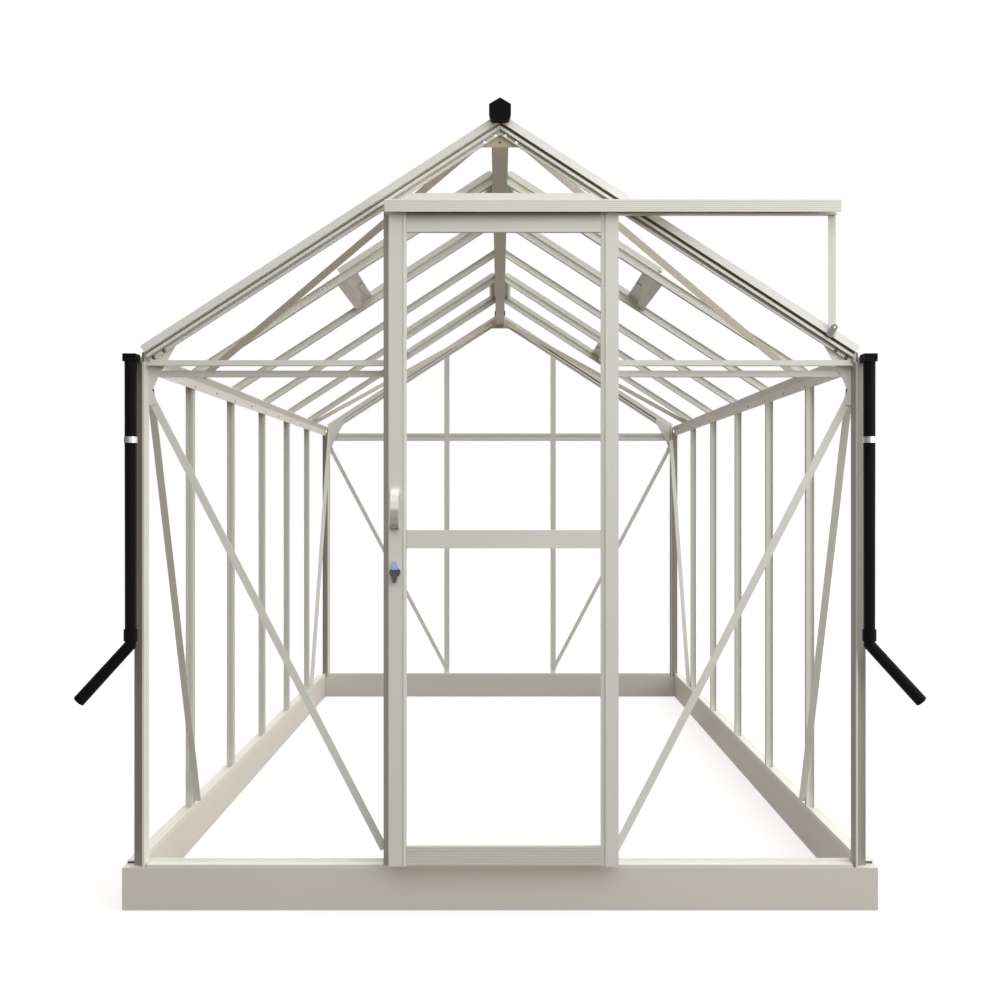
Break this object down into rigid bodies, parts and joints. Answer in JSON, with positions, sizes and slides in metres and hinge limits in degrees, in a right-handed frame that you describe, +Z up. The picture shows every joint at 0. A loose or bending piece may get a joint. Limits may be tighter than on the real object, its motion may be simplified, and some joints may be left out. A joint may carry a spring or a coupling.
{
  "type": "garden greenhouse frame",
  "caption": "Gabled aluminium greenhouse frame with a top-hung sliding door, hinged roof vents, gutters with downpipes and a folded plinth, shown without its panes.",
  "frame": {"origin": "on the ground under the middle of the whole outline", "axes": "+X to the right as seen from the door side, +Y from the door gable to the rear gable, +Z up"},
  "size_m": [2.2116, 3.8836, 2.12],
  "materials": {
    "frame_paint": "satin powder coat, cream",
    "brace_paint": "satin powder coat, cream",
    "plinth_steel": "satin powder coat, cream",
    "black_plastic": "semi-matt black",
    "wheel_plastic": "matt black",
    "lock_chrome": "polished"
  },
  "bodies": {
    "house": {"door_portal": "frame_paint", "door_track": "frame_paint", "downpipe_left": "black_plastic", "downpipe_right": "black_plastic", "gable_brace_front_left": "brace_paint", "gable_brace_front_right": "brace_paint", "gable_brace_rear_left": "brace_paint", "gable_brace_rear_right": "brace_paint", "gable_rail_lower_left": "frame_paint", "gable_rail_lower_right": "frame_paint", "gable_rail_upper_left": "frame_paint", "gable_rail_upper_right": "frame_paint", "plinth_front": "plinth_steel", "plinth_left": "plinth_steel", "plinth_rear": "plinth_steel", "plinth_right": "plinth_steel", "post_front_left": "frame_paint", "post_front_right": "frame_paint", "post_rear_left": "frame_paint", "post_rear_right": "frame_paint", "rafter_front_left": "frame_paint", "rafter_front_right": "frame_paint", "rafter_rear_left": "frame_paint", "rafter_rear_right": "frame_paint", "rear_gable_frame": "frame_paint", "ridge_bar": "frame_paint", "ridge_cap_front": "black_plastic", "ridge_cap_rear": "black_plastic", "roof_bars_left": "frame_paint", "roof_bars_right": "frame_paint", "roof_brace_front_left": "brace_paint", "roof_brace_front_right": "brace_paint", "roof_brace_rear_left": "brace_paint", "roof_brace_rear_right": "brace_paint", "side_bars_left": "frame_paint", "side_bars_right": "frame_paint", "side_brace_front_left": "brace_paint", "side_brace_front_right": "brace_paint", "side_brace_rear_left": "brace_paint", "side_brace_rear_right": "brace_paint", "sill_front": "frame_paint", "sill_rear": "frame_paint", "track_support": "frame_paint"},
    "door": {"door_handle": "frame_paint", "door_rail_bottom": "frame_paint", "door_rail_middle": "frame_paint", "door_rail_top": "frame_paint", "door_stile_left": "frame_paint", "door_stile_right": "frame_paint"},
    "wheel_left": {"door_wheel_left": "wheel_plastic"},
    "wheel_right": {"door_wheel_right": "wheel_plastic"},
    "lock": {"lock_turn": "lock_chrome"},
    "vent_left_front": {"vent_left_front": "frame_paint"},
    "stay_left_front": {"stay_left_front": "frame_paint"},
    "vent_left_rear": {"vent_left_rear": "frame_paint"},
    "stay_left_rear": {"stay_left_rear": "frame_paint"},
    "vent_right_front": {"vent_right_front": "frame_paint"},
    "stay_right_front": {"stay_right_front": "frame_paint"},
    "vent_right_rear": {"vent_right_rear": "frame_paint"},
    "stay_right_rear": {"stay_right_rear": "frame_paint"}
  },
  "joints": [
    {"name": "door_slide", "type": "slide", "parent": "house", "child": "door", "axis": [1, 0, 0], "range_m": [0, 0.565]},
    {"name": "wheel_roll_left", "type": "hinge", "parent": "door", "child": "wheel_left", "pos_m": [-0.213, -1.8825, 1.8328], "axis": [0, 1, 0], "range_deg": [0, 2830]},
    {"name": "wheel_roll_right", "type": "hinge", "parent": "door", "child": "wheel_right", "pos_m": [0.232, -1.8825, 1.8328], "axis": [0, 1, 0], "range_deg": [0, 2830]},
    {"name": "lock_turn", "type": "hinge", "parent": "door", "child": "lock", "pos_m": [-0.27175, -1.9118, 0.8885], "axis": [0, 1, 0], "range_deg": [0, 90]},
    {"name": "vent_hinge_left_front", "type": "hinge", "parent": "house", "child": "vent_left_front", "pos_m": [-0.0315, -0.9095, 2.08751], "axis": [0, 1, 0], "range_deg": [0, 45]},
    {"name": "stay_pivot_left_front", "type": "hinge", "parent": "vent_left_front", "child": "stay_left_front", "pos_m": [-0.46543, -0.9095, 1.7944], "axis": [-0.8392, 0, -0.5438], "range_deg": [0, 90]},
    {"name": "vent_hinge_left_rear", "type": "hinge", "parent": "house", "child": "vent_left_rear", "pos_m": [-0.0315, 0.9505, 2.08751], "axis": [0, 1, 0], "range_deg": [0, 45]},
    {"name": "stay_pivot_left_rear", "type": "hinge", "parent": "vent_left_rear", "child": "stay_left_rear", "pos_m": [-0.46543, 0.9505, 1.7944], "axis": [-0.8392, 0, -0.5438], "range_deg": [0, 90]},
    {"name": "vent_hinge_right_front", "type": "hinge", "parent": "house", "child": "vent_right_front", "pos_m": [0.0315, -0.9095, 2.08751], "axis": [0, -1, 0], "range_deg": [0, 45]},
    {"name": "stay_pivot_right_front", "type": "hinge", "parent": "vent_right_front", "child": "stay_right_front", "pos_m": [0.46543, -0.9095, 1.7944], "axis": [-0.8392, 0, 0.5438], "range_deg": [0, 90]},
    {"name": "vent_hinge_right_rear", "type": "hinge", "parent": "house", "child": "vent_right_rear", "pos_m": [0.0315, 0.9505, 2.08751], "axis": [0, -1, 0], "range_deg": [0, 45]},
    {"name": "stay_pivot_right_rear", "type": "hinge", "parent": "vent_right_rear", "child": "stay_right_rear", "pos_m": [0.46543, 0.9505, 1.7944], "axis": [-0.8392, 0, 0.5438], "range_deg": [0, 90]}
  ],
  "couplings": [
    {"joint": "wheel_roll_left", "follows": "door_slide", "rad_per_m": 86.957},
    {"joint": "wheel_roll_right", "follows": "door_slide", "rad_per_m": 86.957}
  ]
}
